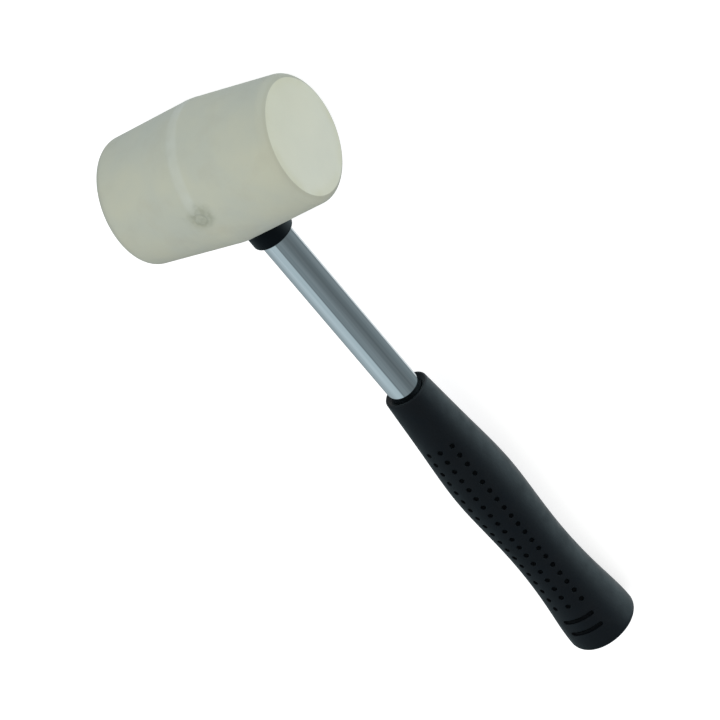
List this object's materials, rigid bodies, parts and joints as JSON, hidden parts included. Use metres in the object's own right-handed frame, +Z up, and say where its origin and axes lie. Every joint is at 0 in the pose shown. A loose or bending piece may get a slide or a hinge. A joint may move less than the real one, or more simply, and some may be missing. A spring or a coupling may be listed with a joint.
{
  "type": "rubber mallet",
  "caption": "Rubber mallet with a white barrel-shaped head on a chromed tubular steel shaft and a dimpled black rubber grip, lying at rest on its side.",
  "frame": {"origin": "on the ground at the middle of the footprint of the mallet as it lies at rest", "axes": "+X runs along the shaft from butt to head, +Y along the head, +Z up; the shaft slopes 3.0 degrees down to the butt and the head tips 4.8 degrees, because one cone of the barrel and the butt's edge touch the ground"},
  "size_m": [0.3502, 0.099, 0.0678],
  "materials": {
    "head_rubber": "moulded white rubber, soft satin with faint mottling",
    "collar_plastic": "black moulded plastic, satin",
    "tube_chrome": "bright chrome plate on drawn steel tube",
    "core_wood": "turned hardwood, unfinished",
    "pin_steel": "drawn steel wire, plain",
    "grip_rubber": "black moulded rubber, fine matt grain",
    "plug_plastic": "dark moulded plastic"
  },
  "bodies": {
    "root": {"head": "head_rubber", "collar": "collar_plastic", "shaft_tube": "tube_chrome", "shaft_core": "core_wood", "cross_pin": "pin_steel", "grip": "grip_rubber", "tube_end_plug": "plug_plastic"}
  },
  "joints": []
}
